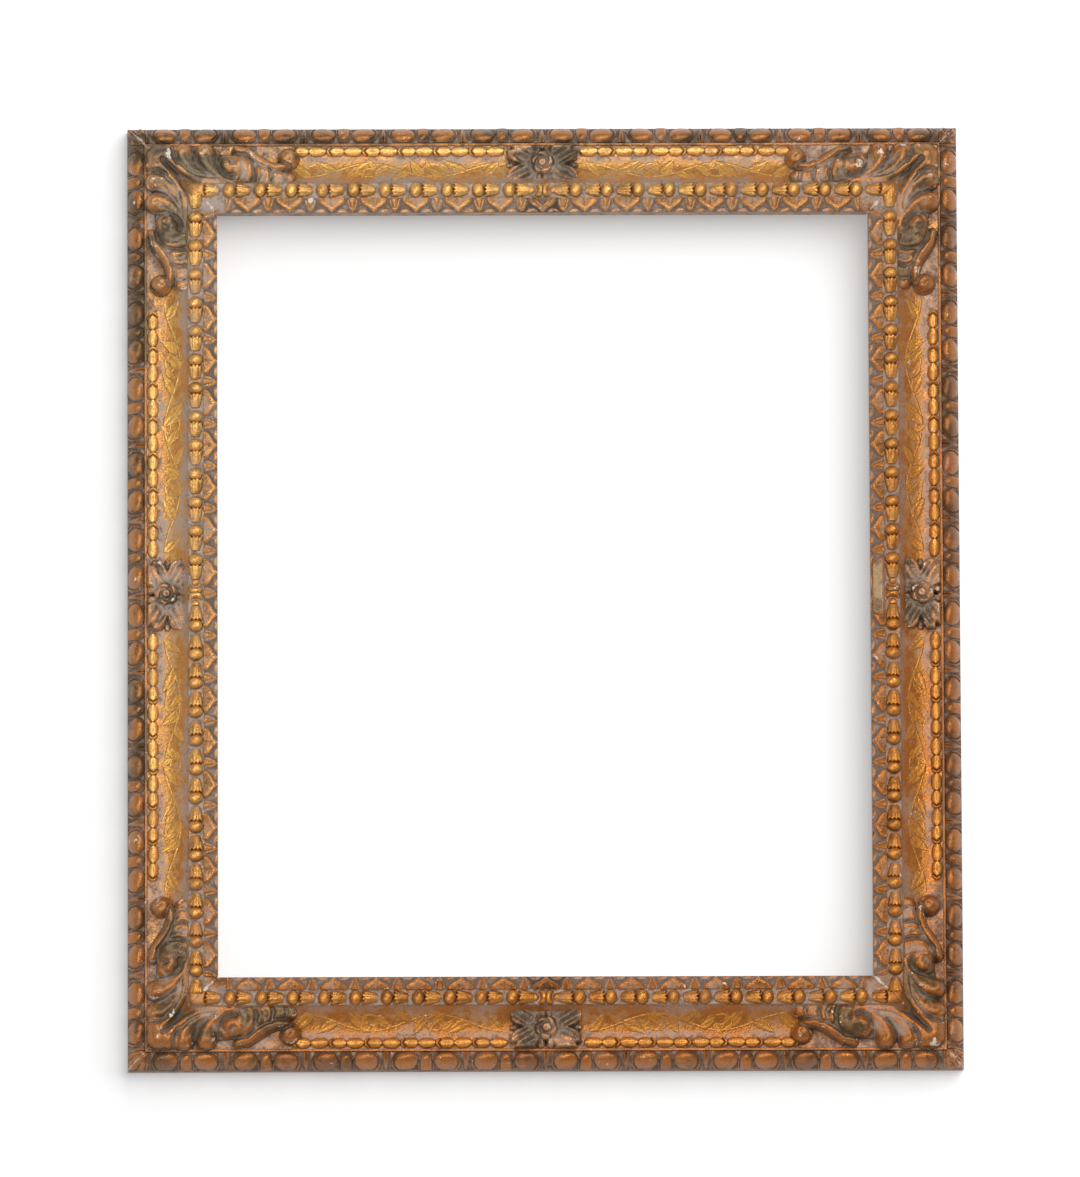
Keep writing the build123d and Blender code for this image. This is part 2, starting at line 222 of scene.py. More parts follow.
def new_mesh(name, points, faces=(), edges=()):
    mesh = bpy.data.meshes.new(name)
    mesh.from_pydata(points, edges, faces)
    return mesh


def read_points(mesh):
    flat = np.zeros(len(mesh.vertices) * 3)
    mesh.vertices.foreach_get("co", flat)
    return flat.reshape(-1, 3)


def write_points(mesh, points):
    mesh.vertices.foreach_set("co", points.astype(np.float32).ravel())
    mesh.update()


def softened(mesh, angle=40):
    """Smooth faces that keep the edges sharper than an angle."""
    mesh.polygons.foreach_set("use_smooth", [True] * len(mesh.polygons))
    mesh.set_sharp_from_angle(angle=radians(angle))


def placed(name, data):
    """An object in the scene that holds a mesh, a lamp or the camera."""
    holder = bpy.data.objects.new(name, data)
    bpy.context.scene.collection.objects.link(holder)
    return holder


def shown(name, mesh, slot, *replaced, body="frame"):
    """A finished mesh as a piece that rides on a body of the frame."""
    piece = placed(name, mesh)
    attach(piece, body)
    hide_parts(*replaced)


def add_values(mesh, name, values):
    """A value for each point of a mesh, which its material reads."""
    made = mesh.attributes.new(name, "FLOAT", "POINT")
    made.data.foreach_set("value", np.asarray(values, np.float32).ravel())


def new_tree(name, inputs):
    """An empty Geometry Nodes tree, its named inputs as threads, and a thread to start nodes from."""
    tree = bpy.data.node_groups.new(name, "GeometryNodeTree")
    for way in ("INPUT", "OUTPUT"):
        tree.interface.new_socket("Geometry", in_out=way, socket_type="NodeSocketGeometry")
    for label, kind in inputs.items():
        tree.interface.new_socket(label, in_out="INPUT", socket_type="NodeSocket" + kind)
    given = tree.nodes.new("NodeGroupInput")
    return tree, {socket.name: Thread(tree, socket) for socket in given.outputs if socket.name}, Thread(tree)


def joined(start, *parts):
    both = start.node("GeometryNodeJoinGeometry")
    for part in parts:
        start.tree.links.new(part.socket, both.socket.node.inputs[0])
    return both


def close_tree(geometry, material):
    """Ends a tree in real faces with their material."""
    real = geometry.node("GeometryNodeRealizeInstances", {}, {0: geometry})
    faced = geometry.node("GeometryNodeSetMaterial", {}, {"Geometry": real, "Material": material})
    end = geometry.tree.nodes.new("NodeGroupOutput")
    geometry.tree.links.new(faced.socket, end.inputs[0])


def grown(tree, mesh, **values):
    """The plain mesh that a tree makes from a start mesh and the values of its inputs."""
    carrier = placed("start", mesh)
    modifier = carrier.modifiers.new("tree", "NODES")
    modifier.node_group = tree
    for item in tree.interface.items_tree:
        label = item.name.lower().replace(" ", "_")
        if label in values:
            modifier[item.identifier] = values[label]
    made = bpy.data.meshes.new_from_object(carrier.evaluated_get(bpy.context.evaluated_depsgraph_get()))
    bpy.data.objects.remove(carrier)
    if made.materials[0] is None:
        made.materials.pop(index=0)
        made.polygons.foreach_set("material_index", [0] * len(made.polygons))
    return made


# Draws a moulding's section out between its two mitres.
run_tree, given, start = new_tree("moulding_run", {
    "Half Length": "Float", "Rear": "Float", "Mitre Crack": "Float", "Gilding": "Material"})
near_end = start.node("GeometryNodeSetPosition", {}, {"Geometry": given["Geometry"], "Offset": (-1, 0, 0)})
drawn_out = start.node("GeometryNodeExtrudeMesh", {"mode": "FACES"}, {
    "Mesh": near_end, "Offset Scale": 2.0, "Individual": False})
near_cap = start.node("GeometryNodeFlipFaces", {}, {0: near_end})
closed = start.node("GeometryNodeMergeByDistance", {}, {
    "Geometry": joined(start, drawn_out, near_cap), "Distance": 0.001})
spot = start.node("GeometryNodeInputPosition")
along, out, up = (spot.axis(number) for number in range(3))
crack = (up - given["Rear"]).between(2.0, 12.0) * given["Mitre Crack"]
mitred = start.point(along.maths("SIGN", along) * (given["Half Length"] + out - crack), out, up)
run = start.node("GeometryNodeSetPosition", {}, {"Geometry": closed, "Position": mitred})
close_tree(run, given["Gilding"])


def moulding_run(side, section, crest, gilding):
    """A plain moulding with its section along one side, gilded in front and bare behind."""
    flat = new_mesh("section", [(0, s, d) for s, d in section], [range(len(section))[::-1]])
    # The crest value of each section point: the gilding paints low values darker, as dirt and painted shade,
    # and high values brighter, as rubbed gold and painted highlight.
    add_values(flat, "crest", crest)
    mesh = grown(run_tree, flat, half_length=half_rail(side), rear=min(d for s, d in section),
                 mitre_crack=mitre_crack, gilding=gilding)
    mesh.materials.append(rail_wood if side in LEVEL_SIDES else stile_wood)
    for face in mesh.polygons:
        if face.normal.z < -0.5:
            face.material_index = 1
    write_points(mesh, in_place(side, *read_points(mesh).T))
    softened(mesh)
    return mesh


def gilding(name, leaf, body, dirt_and_shade_colour, dusty=0.5, bole=0.4, chipped=0.35, metal=0.65, patchy=0.3, grain=0.5,
            open_mitre=0.0, tarnish=0.0, side_shade=0.85):
    """Old gilding with painted light: bright crests, partly rubbed gold and partly painted highlight; brown
    hollows, partly dirt and partly painted shade; dust, bare bole and chips; painted side shading, darker
    toward the lower right.
    """
    material, shader, place = surface(name)
    crest = place.node("ShaderNodeAttribute", {"attribute_name": "crest"}, out="Fac")
    tone = place.node("ShaderNodeAttribute", {"attribute_name": "tone"}, out="Fac")
    across, level = place.axis(0), place.axis(2) - middle_height / 1000
    patch = cloud(place, 26.0, 3.0, 0.5)
    mottle = cloud(place, 130.0, 5.0, 0.65)
    grit = cloud(place, 520.0, 3.0, 0.6)
    # Painted side shading: 0 at the top left, 1 at the lower right. The lower right is painted darker and
    # more orange. The top left gets more dust and, by the tarnish share, a dark olive. This stands in for
    # light that falls unevenly on the sides.
    lower_right_shading = (across - level + (patch - 0.5) * 0.2).between(-0.5, 0.35)
    # Bright leaf on the crests: partly gold rubbed clean on the high points, partly a painted highlight.
    rubbed_and_highlit = crest + (patch - 0.5) * patchy + (mottle - 0.5) * grain + (tone - 0.5) * 0.2
    rubbed_and_highlit = rubbed_and_highlit.between(0.25, 0.85)
    colour = laid(body, leaf, rubbed_and_highlit)
    # Dark olive toward the top left where the leaf is least rubbed, part of the painted side shading.
    colour = laid(colour, (84, 74, 54), (1 - lower_right_shading) * (1.15 - rubbed_and_highlit) * tarnish)
    bare = (crest * 0.5 + (mottle - 0.5) * 0.8 + (patch - 0.5) * 0.7).between(0.3, 0.75) * bole
    colour = laid(colour, (150, 86, 42), bare)
    # The lower right is multiplied darker and more orange by the painted side shading.
    colour = laid(colour, (216, 178, 116), lower_right_shading * side_shade, "MULTIPLY")
    # Dust in the hollows, with more of it toward the top left as part of the painted side shading.
    dust = (0.7 - crest + (patch - 0.5) * 0.5 + (mottle - 0.5) * 0.4).between(0.05, 0.6)
    dust = dust * (1.2 - lower_right_shading * 0.5) * dusty
    colour = laid(colour, (170, 153, 140), dust)
    # Dark in the hollows and creases: partly dirt, partly painted shade.
    hollow = (0.36 - crest + (mottle - 0.5) * 0.3 + (grit - 0.5) * 0.1).between(0.0, 0.4)
    colour = laid(colour, dirt_and_shade_colour, hollow * 0.9)
    specks = (grit + mottle * 0.4).between(1.05, 1.3) * 0.35
    colour = laid(colour, dirt_and_shade_colour, specks)
    knocks = place.node("ShaderNodeTexNoise", {}, {
        "Vector": place, "Scale": 74.0, "Detail": 4.0, "Roughness": 0.7})
    chip_from, chip_to = 0.835 - 0.07 * chipped, 0.85 - 0.07 * chipped
    chips = (knocks + (grit - 0.5) * 0.06 + crest * 0.14 + patch * 0.04).between(chip_from, chip_to)
    off_mitre = abs(abs(across) - abs(level) + (half_height - half_width) / 1000)
    flaked = (0.0024 * mottle + 0.0008 * grit - off_mitre).between(0.0006, 0.0008) * open_mitre
    chips = chips.maths("MAXIMUM", chips, flaked)
    colour = laid(colour, (226, 215, 200), chips)
    feed(shader, Base_Color=colour,
         Metallic=(1 - dust * 0.8) * (1 - hollow * 0.7) * (1 - chips) * metal,
         Roughness=0.32 + dust * 0.3 + hollow * 0.2 + (mottle - 0.5) * 0.16 + chips * 0.3)
    uneven(shader, mottle * 0.75 + grit * 0.25 - chips * 0.5, 0.0007, 0.6)
    return material


band_gilding = gilding("browned_gilding", (186, 122, 62), (138, 96, 62), (82, 63, 47), 0.6, 0.12, 0.6,
                       metal=0.6, patchy=1.0, grain=0.7, open_mitre=0.5, tarnish=0.6, side_shade=0.45)
egg_line = np.linspace(egg_from, edge, 13)
egg_section = [(edge, 0), (fillet_from, 0), (fillet_from, fillet_level), (fillet_from + 0.5, 27.9),
               (egg_from - 0.5, 27.9), (egg_from, 27.2), *zip(egg_line, ground(egg_line + 1e-6))]
egg_crest = [0.4, 0.3, 0.4, 0.75, 0.75, 0.5, *np.linspace(0.12, 0.2, 13)]

# Sets one carved form along a rail, its mirror image along the other half, each a little different.
row_tree, given, start = new_tree("carved_row", {
    "Count": "Int", "First": "Float", "Pitch": "Float", "Out": "Float",
    "Size Change": "Float", "Turn Change": "Float", "Seed": "Int", "Gilding": "Material"})
halves = []
for way in (1, -1):
    places = start.node("GeometryNodeMeshLine", {"mode": "OFFSET"}, {
        "Count": given["Count"], "Offset": start.point(given["Pitch"] * way),
        "Start Location": start.point(given["First"] * way, given["Out"])})
    form = given["Geometry"]
    if way < 0:
        form = start.node("GeometryNodeFlipFaces", {}, {
            0: start.node("GeometryNodeTransform", {}, {"Geometry": form, "Scale": (-1, 1, 1)})})
    change = [start.node("FunctionNodeRandomValue", {"data_type": "FLOAT"}, {
        2: middle - given[label], 3: middle + given[label], 8: given["Seed"] + extra + way}, out=1)
        for label, middle, extra in (("Size Change", 1.0, 10), ("Turn Change", 0.0, 20))]
    halves.append(start.node("GeometryNodeInstanceOnPoints", {}, {
        "Points": places, "Instance": form, "Scale": change[0], "Rotation": start.point(z=change[1])}))
toned = start.node("GeometryNodeStoreNamedAttribute", {"data_type": "FLOAT", "domain": "INSTANCE"}, {
    "Geometry": joined(start, *halves), "Name": "tone",
    "Value": start.node("FunctionNodeRandomValue", {"data_type": "FLOAT"}, {8: given["Seed"]}, out=1)})
close_tree(toned, given["Gilding"])


def blurred(height, times):
    for turn in range(times):
        wide = np.pad(height, 1, mode="edge")
        height = (wide[1:-1, :-2] + wide[1:-1, 2:] + wide[:-2, 1:-1] + wide[2:, 1:-1] + 2 * height) / 6
    return height


def carved(name, along, out, height, kept=None, floor=-1.2, spread=8, depth=1.5, lift=0.0):
    """A carved form as a closed mesh: a grid of heights, walls down into the moulding and an underside."""
    rows, columns = height.shape
    if kept is None:
        kept = height > -0.3
    cells = kept[:-1, :-1] | kept[1:, :-1] | kept[:-1, 1:] | kept[1:, 1:]
    numbers = np.arange(rows * columns).reshape(rows, columns)
    corners = [numbers[:-1, :-1], numbers[:-1, 1:], numbers[1:, 1:], numbers[1:, :-1]]
    faces = [np.stack([c[cells] for c in corners], 1)]
    faces.append(faces[0][:, ::-1] + rows * columns)
    wide = np.pad(cells, 1)
    open_sides = [~wide[:-2, 1:-1], ~wide[1:-1, 2:], ~wide[2:, 1:-1], ~wide[1:-1, :-2]]
    for turn, open_side in enumerate(open_sides):
        first, second = (corners[(turn + step) % 4][cells & open_side] for step in (0, 1))
        faces.append(np.stack([second, first, first + rows * columns, second + rows * columns], 1))
    faces = np.concatenate(faces)
    used, faces = np.unique(faces, return_inverse=True)
    under = np.full_like(height, floor) if np.isscalar(floor) else floor
    points = np.concatenate([np.stack([along, out, height], -1).reshape(-1, 3),
                             np.stack([along, out, under], -1).reshape(-1, 3)])[used]
    mesh = new_mesh(name, points.tolist(), faces.reshape(-1, 4).tolist())
    # Crest: how far each point stands above its blurred surroundings, raised by its height through lift. The
    # gilding paints low crest dark, as dirt and painted shade in the creases, and high crest bright, as
    # rubbed gold and painted highlight.
    raised = np.where(kept, height, np.minimum(height, under + 0.3))
    near, far = blurred(raised, spread), blurred(raised, spread * 5)
    level = unit(raised / height.max()) - 0.5
    crest = unit(0.5 + (raised - near) / depth + 0.25 * (raised - far) / depth + lift * level).ravel()
    add_values(mesh, "crest", np.concatenate([crest, crest])[used])
    softened(mesh, 60)
    return mesh


def ridge(distance, width):
    return np.exp(-(distance / width) ** 2)


def grid(along_from, along_to, out_from, out_to, step):
    along = np.linspace(along_from, along_to, int(round((along_to - along_from) / step)) + 1)
    out = np.linspace(out_from, out_to, int(round((out_to - out_from) / step)) + 1)
    return np.meshgrid(along, out)


def row_of(form, count, first, pitch, out, seed, gilding, size_change=0.0, turn_change=0.0):
    """A row of one carved form, still flat."""
    return grown(row_tree, form, count=count, first=first, pitch=pitch, out=out, seed=seed, gilding=gilding,
                 size_change=size_change, turn_change=turn_change)


def carving(name, mesh, side, moulding):
    """Lays carving that was made flat onto a moulding of one side, as a piece."""
    along, out, up = read_points(mesh).T
    write_points(mesh, in_place(side, along, out, ground(out) + up))
    shown(name, mesh, "gilt_wood", moulding + side)


def along_lines(along, out, lines):
    """How far points lie from each length of lines and to its left, in half widths, and its last value."""
    for line in lines:
        for (a, b, r, h), (c, d, q, g) in zip(line, line[1:]):
            length = np.hypot(c - a, d - b)
            run = unit(((along - a) * (c - a) + (out - b) * (d - b)) / length ** 2)
            half = r + run * (q - r)
            share = np.hypot(along - a - run * (c - a), out - b - run * (d - b)) / half
            leftward = ((c - a) * (out - b) - (d - b) * (along - a)) / length / half
            yield share, np.clip(leftward, -1, 1), h + run * (g - h)


def fingers(along, out, lines, base, cuts=(), tilt=0.0):
    """Heights of rounded fingers along lines over a base, each tilted over the next, less their cuts."""
    height = base - 1.0
    for share, leftward, top in along_lines(along, out, lines):
        full = np.maximum(1 - share ** 2, 0) ** 0.5
        finger = base + (top - base - tilt * leftward) * full
        height = np.maximum(height, np.where(share < 1, finger, base - 1.0))
    cut = 0 * along
    for share, leftward, depth in along_lines(along, out, cuts):
        cut = np.maximum(cut, depth * np.exp(-share ** 2))
    return np.where(height > base, np.maximum(height - cut, base + 0.2), height)


def over_mitre(name, corner, span, step, base_span, layers, cuts, spread, depth, gilding):
    """Carving over a corner: forms that lie along the level rail, and their mirror image across the mitre."""
    side_x, side_z = CORNERS[corner]
    right, rise = grid(*span, -span[1], -span[0], step)
    base = ground(np.clip(np.maximum(rise, -right), *base_span))
    height = np.maximum.reduce([fingers(along, out, lines, base, cuts, tilt) for lines, tilt in layers
                                for along, out in ((right, rise), (-rise, -right))])
    mesh = carved(name, right, rise, height, height > base - 0.4, base - 1.6, spread, depth)
    right, rise, up = read_points(mesh).T
    spots = [side_x * (half_width - right), -up, middle_height + side_z * (half_height + rise)]
    write_points(mesh, np.stack(spots, 1) / 1000)
    if side_x * side_z > 0:
        mesh.flip_normals()
    mesh.materials.append(gilding)
    return mesh


def egg_course(pitch):
    """One repeat of the outer band: a tongue, an egg each side of it and half a dart at each end."""
    along, out = grid(-pitch / 2, pitch / 2, -7.4, 7.6, 0.8)
    side_way = np.abs(along)
    u, w = side_way - pitch / 4, out - 0.2
    share = np.hypot((u * 0.98 + w * 0.2) / 11.2, (w * 0.98 - u * 0.2) / 8.2)
    to_dart = np.clip(u / 9.7, -1, 1)
    egg = 5.6 * np.maximum(1 - share ** 2, 0) ** 0.55
    rim = 3.0 * ridge(share - 1.13, 0.07) * unit(0.3 + to_dart - 0.35 * w / 7) - 0.4
    tongue_share = np.hypot(along / 5.6, np.minimum(out - 2.5, 0) / 8.8)
    tongue_rim = 2.2 * ridge(tongue_share - 1.16, 0.1) - 0.4
    tongue = np.maximum(4.6 * np.maximum(1 - tongue_share ** 2, 0) ** 0.6, tongue_rim)
    dart_side = pitch / 2 - side_way
    dart = 3.6 * (1 - dart_side / np.maximum(4.8 - 0.27 * (out + 7.4), 0.4)) - 1.8 * ridge(dart_side, 0.6)
    tongue, dart = np.where(share > 1.03, tongue, -1), np.where(share > 1.04, dart, -1)
    height = np.maximum.reduce([egg, rim, tongue, dart])
    return carved("egg_course", along, out, np.maximum(height, -0.5), depth=2.6, lift=0.4)


for number, side in enumerate(SIDES):
    band = moulding_run(side, egg_section, egg_crest, band_gilding)
    shown("outer_band_" + side, band, "gilt_wood", "outer_moulding_" + side)
    count = 5 if side in LEVEL_SIDES else 6
    pitch = (half_rail(side) + egg_from - 1.2) / count
    eggs = row_of(egg_course(pitch), count, pitch / 2, pitch, egg_middle, number, band_gilding)
    carving("egg_carving_" + side, eggs, side, "outer_moulding_")

# A leaf lies along each mitre of the band, with half a leaf at each side of it. Each is a line of points:
# along the rail, out from the sight edge, half width, and height above the wall.
CORNERS = {"top_left": (-1, 1), "top_right": (1, 1), "bottom_left": (-1, -1), "bottom_right": (1, -1)}
mitre_leaf = [
    [(-68, 68, 2.6, 28.6), (-73, 73, 4.6, 28.8), (-78, 78, 4.0, 24.0), (-81.5, 81.5, 1.6, 17.5)],
    [(-67.6, 71, 2.4, 28.6), (-68.6, 76.5, 3.2, 26.0), (-71, 81, 2.4, 19.5)],
]
mitre_vein = [[(-67, 67, 0.8, 1.0), (-75, 75, 0.9, 1.4), (-82, 82, 0.8, 1.0)]]
for corner in CORNERS:
    leaf = over_mitre("mitre_leaf", corner, (-82.8, -66.4), 0.55, (egg_from + 0.1, edge), [(mitre_leaf, 0.0)],
                      mitre_vein, 8, 2.0, band_gilding)
    rails = ["outer_moulding_" + side for side in corner.split("_")]
    shown("mitre_leaf_" + corner, leaf, "gilt_wood", *rails)

# Frieze
# The wide hollow with engraved leaf scrolls, and at its foot a raised row of seeds and husks.
# Wood and gesso under gilding that is still bright; the scrolls are cut into the gesso.
frieze_gilding = gilding("frieze_gilding", (250, 194, 98), (204, 146, 82), (106, 70, 44), 0.8, 0.25, 0.1)
husk_gilding = gilding("bright_gilding", (248, 196, 114), (190, 136, 76), (76, 52, 35), 0.5, 0.35, 0.2,
                       patchy=0.5)
moulding_back = 21.5
hollow_line = np.linspace(hollow_from, ridge_from, 19)
frieze_section = [(fillet_from, moulding_back), (hollow_from, moulding_back),
                  *zip(hollow_line, ground(hollow_line + 1e-6)), (fillet_from, 26.5)]
frieze_crest = [0.3, 0.3, 0.3, 0.34, 0.38, 0.42, 0.48, *np.linspace(0.54, 0.62, 9),
                0.54, 0.42, 0.34, 0.3, 0.28, 0.2]
seed_length, seed_half, seed_middle, flower_half = 16.4, 4.9, 59.5, 35
scroll_middle, scroll_low, scroll_high, leaf_length, leaf_bend = 41.5, 30, 52.5, 20, 7
scroll_from, scroll_short, wave_length, wave_points, wave_leaves = 40.0, 80, 58, 16, 6


def dome(share):
    """A rounded height from 1 in the middle to 0 at the outline, and below it past the outline."""
    return np.where(share < 1, np.sqrt(np.maximum(1 - share ** 2, 0)), 1 - share)


def seed_and_husk():
    """A plump pointed seed and the notched husk that it comes out of."""
    along, out = grid(-seed_length, seed_length, -5.2, 5.2, 0.65)
    seed_at, husk_at = (along + way * seed_length / 2 for way in (1, -1))
    halves = [seed_half * unit(1 - np.abs(np.clip(at / 8.3, -1, 1)) ** power) ** 0.5
              for at, power in ((seed_at, 2.6), (husk_at, 4.0))]
    seed, husk = (4.8 * dome(np.abs(out) / np.maximum(half, 0.2)) for half in halves)
    seed = seed - 0.6 * ridge(out, 0.6) * unit(seed_at / 6)
    husk = husk - 3.2 * ridge(husk_at - 6.2 + 0.8 * np.abs(out), 0.8)
    husk = husk - 1.0 * ridge(out, 0.55) * unit(0.7 - husk_at / 5)
    return carved("seed_and_husk", along, out, np.maximum(np.maximum(seed, husk), -0.5), depth=2.4, lift=0.3)


# Sets one form at marked spots, each with its own turn and size.
spot_tree, given, start = new_tree("forms_at_spots", {"Form": "Object", "Finish": "Material"})
single = start.node("GeometryNodeObjectInfo", {}, {"Object": given["Form"]}, out="Geometry")
turned, sized = (start.node("GeometryNodeInputNamedAttribute", {"data_type": "FLOAT"}, {"Name": label})
                 for label in ("turn", "size"))
sown = start.node("GeometryNodeInstanceOnPoints", {}, {
    "Points": given["Geometry"], "Instance": single, "Scale": sized, "Rotation": start.point(z=turned)})
close_tree(sown, given["Finish"])


def at_spots(form, material, spots, turns, sizes):
    """One form at each spot of a flat drawing, turned and sized."""
    drawing = new_mesh("spots", [(a, b, 0.07 * (k % 6)) for k, (a, b) in enumerate(spots)])
    add_values(drawing, "turn", turns)
    add_values(drawing, "size", sizes)
    holder = bpy.data.objects.new(form.name, form)
    made = grown(spot_tree, drawing, form=holder, finish=material)
    bpy.data.objects.remove(holder)
    return made


def ring_faces(rings, steps, first=0):
    """Faces that join rings of points, each ring to the next."""
    return [tuple(first + k * steps + j % steps for k, j in ((i, j), (i, j + 1), (i + 1, j + 1), (i + 1, j)))
            for i in range(rings - 1) for j in range(steps)]


def engraved_leaf(curl):
    """A leaf of low relief that curls to one side, with a cut line round it and down its middle, painted
    dark.
    """
    turns = np.linspace(0, 1, 22)
    half = 0.5 + 4.4 * np.sin(pi * turns ** 0.75) ** 0.9 * (1 + 0.1 * np.sin(9 * pi * turns))
    # Each line across the leaf: share of the half width, shift inward, height and crest. The outline and the
    # middle line get a low crest and are painted dark, as dirt and painted shade in the cut.
    lines = [(-1.0, 0.0, -0.3, 0.15), (-1.0, 0.7, 0.15, 0.15), (-1.0, 1.2, 0.45, 0.95),
             (-0.5, 0.1, 0.5, 0.9), (0.0, -0.4, 0.45, 0.9), (0.0, 0.0, 0.3, 0.15)]
    lines += [(-share, -inward, up, crest) for share, inward, up, crest in lines[-2::-1]]
    points = [(leaf_length * t, curl * (np.clip(share * h + inward, -h, h) + leaf_bend * t * t), up)
              for t, h in zip(turns, half) for share, inward, up, crest in lines]
    mesh = new_mesh("engraved_leaf", points, ring_faces(len(turns), len(lines)))
    add_values(mesh, "crest", [line[3] for t in turns for line in lines])
    if curl < 0:
        mesh.flip_normals()
    return mesh


# Sweeps a round section along lines: the stems and cuts of the scrolls here, the wire of the rings later.
line_tree, given, start = new_tree("swept_lines", {
    "Width": "Float", "Bend": "Float", "Sides": "Int", "Crest": "Float", "Finish": "Material"})
line = start.node("GeometryNodeMeshToCurve", {}, {0: given["Geometry"]})
line = start.node("GeometryNodeFilletCurve", {"mode": "POLY"}, {
    "Curve": line, "Radius": given["Bend"], "Count": 5})
section = start.node("GeometryNodeCurvePrimitiveCircle", {"mode": "RADIUS"}, {
    "Resolution": given["Sides"], "Radius": given["Width"] * 0.5})
swept = start.node("GeometryNodeCurveToMesh", {}, {
    "Curve": line, "Profile Curve": section, "Fill Caps": True})
close_tree(start.node("GeometryNodeStoreNamedAttribute", {"data_type": "FLOAT", "domain": "POINT"}, {
    "Geometry": swept, "Name": "crest", "Value": given["Crest"]}), given["Finish"])


def leaf_scroll(side):
    """The engraving of one hollow: a waving stem, a curl in each wave, and leaves, mirrored at the middle."""
    span = half_rail(side) - scroll_short - scroll_from
    waves = max(3, round(span / wave_length))
    pitch = span / waves
    t = np.linspace(0, waves, waves * wave_points + 1)
    stem_at, stem_out = scroll_from + pitch * t, scroll_middle + 7.0 * np.cos(pi * t)
    strokes, leaves = [(stem_at, stem_out)], []
    for step in range(waves * wave_leaves):
        k = int((step + 0.35) * wave_points / wave_leaves)
        heading = np.arctan2(stem_out[k + 1] - stem_out[k], stem_at[k + 1] - stem_at[k])
        curl = 1 if step % 2 else -1
        leaves.append((stem_at[k], stem_out[k], heading + 0.45 * curl, 1.0 + 0.2 * sin(2.3 * step), curl))
    for peak in range(1, waves):
        up = 1 if peak % 2 == 0 else -1
        turn = np.linspace(0, 1, 26)
        angle, radius = pi / 2 - turn * 2.3 * pi, 8.6 - 5.4 * turn
        at = scroll_from + pitch * peak + 1.35 * radius * np.cos(angle)
        out = scroll_middle - up * 1.2 + up * 0.86 * radius * np.sin(angle)
        strokes.append((at, out))
        leaves += [(at[k], out[k], up * (angle[k] - pi / 2 + turn_out), size, -up) for k, turn_out, size in (
            (3, 0.4, 0.9), (8, 0.3, 0.8), (13, 0.3, 0.7), (18, 0.2, 0.6), (25, 0.0, 0.5))]
    leaves = np.array(leaves)
    at, out, heading, size, curl = leaves.T
    tip = out + size * (leaf_length * np.sin(heading) + leaf_bend * curl * np.cos(heading))
    leaves = leaves[(tip > scroll_low - 1) & (tip < scroll_high + 1)]
    mirrored = leaves * [-1, 1, -1, 1, -1] + [0, 0, pi, 0, 0]
    rows = np.concatenate([leaves, mirrored])
    bands = []
    # The stems get a high crest and are painted bright. The wider sunk cuts get a low crest and are painted
    # dark, as dirt and painted shade in the cut.
    for width, depth, crest in ((2.8, 1.05, 0.9), (4.2, 1.8, 0.1)):
        points, edges = [], []
        for at, out in strokes:
            for way in (1, -1):
                edges += [(len(points) + k, len(points) + k + 1) for k in range(len(at) - 1)]
                points += [(way * a, b, -depth) for a, b in zip(at, np.clip(out, scroll_low, scroll_high))]
        drawing = new_mesh("scroll_lines", points, edges=edges)
        bands.append(grown(line_tree, drawing, width=width, bend=0.0, sides=12, crest=crest,
                           finish=frieze_gilding))
    for curl in (1, -1):
        group = rows[rows[:, 4] == curl]
        bands.append(at_spots(engraved_leaf(curl), frieze_gilding, group[:, :2], group[:, 2], group[:, 3]))
    return bands


for number, side in enumerate(SIDES):
    hollow = moulding_run(side, frieze_section, frieze_crest, frieze_gilding)
    shown("frieze_hollow_" + side, hollow, "gilt_wood", "frieze_" + side)
    count = 6 if side in LEVEL_SIDES else 7
    seeds = row_of(seed_and_husk(), count, flower_half + seed_length, 2 * seed_length, seed_middle,
                   10 + number, husk_gilding, 0.02, 0.02)
    carving("seed_row_" + side, seeds, side, "frieze_")
    for label, scroll in zip(("stems_", "cuts_", "leaves_", "leaves_turned_"), leaf_scroll(side)):
        softened(scroll, 50)
        carving("scroll_" + label + side, scroll, side, "frieze_")

# Sight moulding
# The inner moulding: a row of beads and husks on a flat seat, and a leaf band sloping to the opening.
# Carved wood and gesso, gilded, with the brightest leaf on the beads; the rebate behind holds a picture.
sight_gilding = gilding("sight_gilding", (220, 158, 92), (166, 124, 86), (104, 84, 69), 1.0, 0.2, 0.35,
                        open_mitre=1.0)
bead_gilding = gilding("bead_gilding", (242, 186, 104), (180, 126, 68), (74, 50, 33), 0.45, 0.4, 0.2,
                       patchy=0.5)
ledge, ledge_back, seat = 6, 23.5, sight_level + leaf_rise
sight_section = [(ledge, moulding_back), (ledge, ledge_back), (0, ledge_back), (0, 38.4), (0.6, 39.1),
                 (leaf_end, seat), (hollow_from - 0.8, seat), (hollow_from, 44.6),
                 (hollow_from, moulding_back)]
sight_crest = [0.3, 0.3, 0.3, 0.35, 0.55, 0.25, 0.2, 0.35, 0.3]
bead_out, bead_rise, bead_first, husk_length, pad_half, pad_from = 20.0, 7.0, 30.6, 14.2, 6.4, 11.5
plate_up, plate_clear = 5, 26


